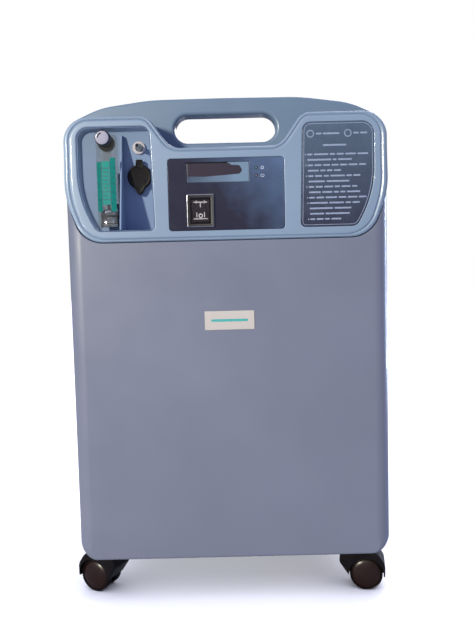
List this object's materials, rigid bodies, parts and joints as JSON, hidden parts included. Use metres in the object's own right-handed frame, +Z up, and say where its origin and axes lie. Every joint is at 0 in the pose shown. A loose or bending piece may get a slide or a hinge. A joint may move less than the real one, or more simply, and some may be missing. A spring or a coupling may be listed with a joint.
{
  "type": "oxygen concentrator",
  "caption": "Floor-standing home oxygen concentrator: blue-grey plastic cabinet with an arched carry handle, recessed flowmeter and outlet, dark control panel, rocker switch and swivel casters.",
  "frame": {"origin": "on the floor under the middle of the object's bounding box", "axes": "+Z up; -Y out of the front with the control panel; +X to the right as seen from the front"},
  "size_m": [0.4016, 0.3646, 0.6051],
  "materials": {
    "front_cover": "fine moulded texture",
    "control_fascia": "fine moulded texture",
    "rear_cover": "fine moulded texture",
    "recess_tub": "fine moulded texture",
    "filter_door": "fine moulded texture",
    "base_pan": "moulded",
    "control_panel": "gloss",
    "label_plate": "gloss",
    "lcd_module": "gloss window",
    "led_power": "gloss",
    "led_alarm": "gloss",
    "name_plate": "satin",
    "switch_frame": "polished",
    "power_rocker": "satin",
    "switch_dust_cover": "clear",
    "flowmeter_body": "clear acrylic",
    "flow_plug": "polished",
    "outlet_nipple": "polished",
    "flow_float": "satin",
    "flow_knob": "satin",
    "outlet_ring": "satin",
    "nebulizer_port": "satin",
    "port_cap": "matt",
    "caster_fl_hood": "satin",
    "caster_fl_axle": "satin",
    "caster_fl_wheel_a": "satin",
    "caster_fl_wheel_b": "satin",
    "compressor_mount_fl": "matt",
    "caster_fr_hood": "satin",
    "caster_fr_axle": "satin",
    "caster_fr_wheel_a": "satin",
    "caster_fr_wheel_b": "satin",
    "compressor_mount_fr": "matt",
    "caster_rl_hood": "satin",
    "caster_rl_axle": "satin",
    "caster_rl_wheel_a": "satin",
    "caster_rl_wheel_b": "satin",
    "compressor_mount_rl": "matt",
    "caster_rr_hood": "satin",
    "caster_rr_axle": "satin",
    "caster_rr_wheel_a": "satin",
    "caster_rr_wheel_b": "satin",
    "compressor_mount_rr": "matt",
    "filter_foam": "open-cell foam",
    "exhaust_grille": "satin",
    "power_inlet": "satin",
    "breaker_button": "satin",
    "fan_frame": "satin",
    "fan_rotor": "satin",
    "compressor_crankcase": "cast",
    "compressor_head_l": "cast",
    "compressor_head_r": "cast",
    "sieve_bed_l": "cast",
    "sieve_bed_r": "cast",
    "valve_block": "cast",
    "compressor_motor": "satin",
    "cooling_coil": "drawn copper tube",
    "product_tank": "moulded",
    "product_filter": "moulded",
    "control_board": "solder mask"
  },
  "bodies": {
    "casing": {"front_cover": "front_cover", "control_fascia": "control_fascia", "rear_cover": "rear_cover", "recess_tub": "recess_tub", "base_pan": "base_pan", "control_panel": "control_panel", "label_plate": "label_plate", "lcd_module": "lcd_module", "led_power": "led_power", "led_alarm": "led_alarm", "name_plate": "name_plate", "switch_frame": "switch_frame", "switch_dust_cover": "switch_dust_cover", "flowmeter_body": "flowmeter_body", "flow_plug": "flow_plug", "outlet_nipple": "outlet_nipple", "outlet_ring": "outlet_ring", "nebulizer_port": "nebulizer_port", "compressor_mount_fl": "compressor_mount_fl", "compressor_mount_fr": "compressor_mount_fr", "compressor_mount_rl": "compressor_mount_rl", "compressor_mount_rr": "compressor_mount_rr", "filter_foam": "filter_foam", "exhaust_grille": "exhaust_grille", "power_inlet": "power_inlet", "fan_frame": "fan_frame", "compressor_crankcase": "compressor_crankcase", "compressor_head_l": "compressor_head_l", "compressor_head_r": "compressor_head_r", "sieve_bed_l": "sieve_bed_l", "sieve_bed_r": "sieve_bed_r", "valve_block": "valve_block", "compressor_motor": "compressor_motor", "cooling_coil": "cooling_coil", "product_tank": "product_tank", "product_filter": "product_filter", "control_board": "control_board"},
    "power_rocker": {"power_rocker": "power_rocker"},
    "flow_knob": {"flow_knob": "flow_knob"},
    "flow_float": {"flow_float": "flow_float"},
    "port_cap": {"port_cap": "port_cap"},
    "breaker_button": {"breaker_button": "breaker_button"},
    "filter_door": {"filter_door": "filter_door"},
    "fan_rotor": {"fan_rotor": "fan_rotor"},
    "caster_fl": {"caster_fl_hood": "caster_fl_hood", "caster_fl_axle": "caster_fl_axle"},
    "caster_fl_wheel_a": {"caster_fl_wheel_a": "caster_fl_wheel_a"},
    "caster_fl_wheel_b": {"caster_fl_wheel_b": "caster_fl_wheel_b"},
    "caster_fr": {"caster_fr_hood": "caster_fr_hood", "caster_fr_axle": "caster_fr_axle"},
    "caster_fr_wheel_a": {"caster_fr_wheel_a": "caster_fr_wheel_a"},
    "caster_fr_wheel_b": {"caster_fr_wheel_b": "caster_fr_wheel_b"},
    "caster_rl": {"caster_rl_hood": "caster_rl_hood", "caster_rl_axle": "caster_rl_axle"},
    "caster_rl_wheel_a": {"caster_rl_wheel_a": "caster_rl_wheel_a"},
    "caster_rl_wheel_b": {"caster_rl_wheel_b": "caster_rl_wheel_b"},
    "caster_rr": {"caster_rr_hood": "caster_rr_hood", "caster_rr_axle": "caster_rr_axle"},
    "caster_rr_wheel_a": {"caster_rr_wheel_a": "caster_rr_wheel_a"},
    "caster_rr_wheel_b": {"caster_rr_wheel_b": "caster_rr_wheel_b"}
  },
  "joints": [
    {"name": "rocker_tilt", "type": "hinge", "parent": "casing", "child": "power_rocker", "pos_m": [-0.0304, -0.1742, 0.4664], "axis": [-1, 0, 0], "range_deg": [0, 16]},
    {"name": "flow_knob_turn", "type": "hinge", "parent": "casing", "child": "flow_knob", "pos_m": [-0.1415, -0.1555, 0.5528], "axis": [0, -1, 0], "range_deg": [0, 720]},
    {"name": "flow_float_rise", "type": "slide", "parent": "casing", "child": "flow_float", "axis": [0, 0, 1], "range_m": [0, 0.05]},
    {"name": "port_cap_lift", "type": "hinge", "parent": "casing", "child": "port_cap", "pos_m": [-0.1045, -0.1374, 0.5325], "axis": [-1, 0, 0], "range_deg": [0, 85]},
    {"name": "breaker_press", "type": "slide", "parent": "casing", "child": "breaker_button", "axis": [0, -1, 0], "range_m": [0, 0.003], "stiffness_N_per_m": 400},
    {"name": "filter_door_swing", "type": "hinge", "parent": "casing", "child": "filter_door", "pos_m": [-0.07, 0.1793, 0.415], "axis": [0, 0, 1], "range_deg": [0, 90]},
    {"name": "fan_spin", "type": "hinge", "parent": "casing", "child": "fan_rotor", "pos_m": [0, 0.01, 0.2538], "axis": [0, 0, 1], "continuous": true},
    {"name": "caster_fl_swivel", "type": "hinge", "parent": "casing", "child": "caster_fl", "pos_m": [-0.152, -0.14, 0.045], "axis": [0, 0, 1], "continuous": true},
    {"name": "caster_fl_roll_a", "type": "hinge", "parent": "caster_fl", "child": "caster_fl_wheel_a", "pos_m": [-0.17103, -0.13112, 0.02], "axis": [-0.4226, -0.9063, 0], "continuous": true},
    {"name": "caster_fl_roll_b", "type": "hinge", "parent": "caster_fl", "child": "caster_fl_wheel_b", "pos_m": [-0.17103, -0.13112, 0.02], "axis": [-0.4226, -0.9063, 0], "continuous": true},
    {"name": "caster_fr_swivel", "type": "hinge", "parent": "casing", "child": "caster_fr", "pos_m": [0.142, -0.14, 0.045], "axis": [0, 0, 1], "continuous": true},
    {"name": "caster_fr_roll_a", "type": "hinge", "parent": "caster_fr", "child": "caster_fr_wheel_a", "pos_m": [0.16268, -0.14365, 0.02], "axis": [0.1736, 0.9848, 0], "continuous": true},
    {"name": "caster_fr_roll_b", "type": "hinge", "parent": "caster_fr", "child": "caster_fr_wheel_b", "pos_m": [0.16268, -0.14365, 0.02], "axis": [0.1736, 0.9848, 0], "continuous": true},
    {"name": "caster_rl_swivel", "type": "hinge", "parent": "casing", "child": "caster_rl", "pos_m": [-0.142, 0.14, 0.045], "axis": [0, 0, 1], "continuous": true},
    {"name": "caster_rl_roll_a", "type": "hinge", "parent": "caster_rl", "child": "caster_rl_wheel_a", "pos_m": [-0.16268, 0.14365, 0.02], "axis": [-0.1736, -0.9848, 0], "continuous": true},
    {"name": "caster_rl_roll_b", "type": "hinge", "parent": "caster_rl", "child": "caster_rl_wheel_b", "pos_m": [-0.16268, 0.14365, 0.02], "axis": [-0.1736, -0.9848, 0], "continuous": true},
    {"name": "caster_rr_swivel", "type": "hinge", "parent": "casing", "child": "caster_rr", "pos_m": [0.152, 0.14, 0.045], "axis": [0, 0, 1], "continuous": true},
    {"name": "caster_rr_roll_a", "type": "hinge", "parent": "caster_rr", "child": "caster_rr_wheel_a", "pos_m": [0.17103, 0.13112, 0.02], "axis": [0.4226, 0.9063, 0], "continuous": true},
    {"name": "caster_rr_roll_b", "type": "hinge", "parent": "caster_rr", "child": "caster_rr_wheel_b", "pos_m": [0.17103, 0.13112, 0.02], "axis": [0.4226, 0.9063, 0], "continuous": true}
  ],
  "couplings": [
    {"joint": "flow_knob_turn", "follows": "flow_float_rise", "rad_per_m": 251.3}
  ]
}
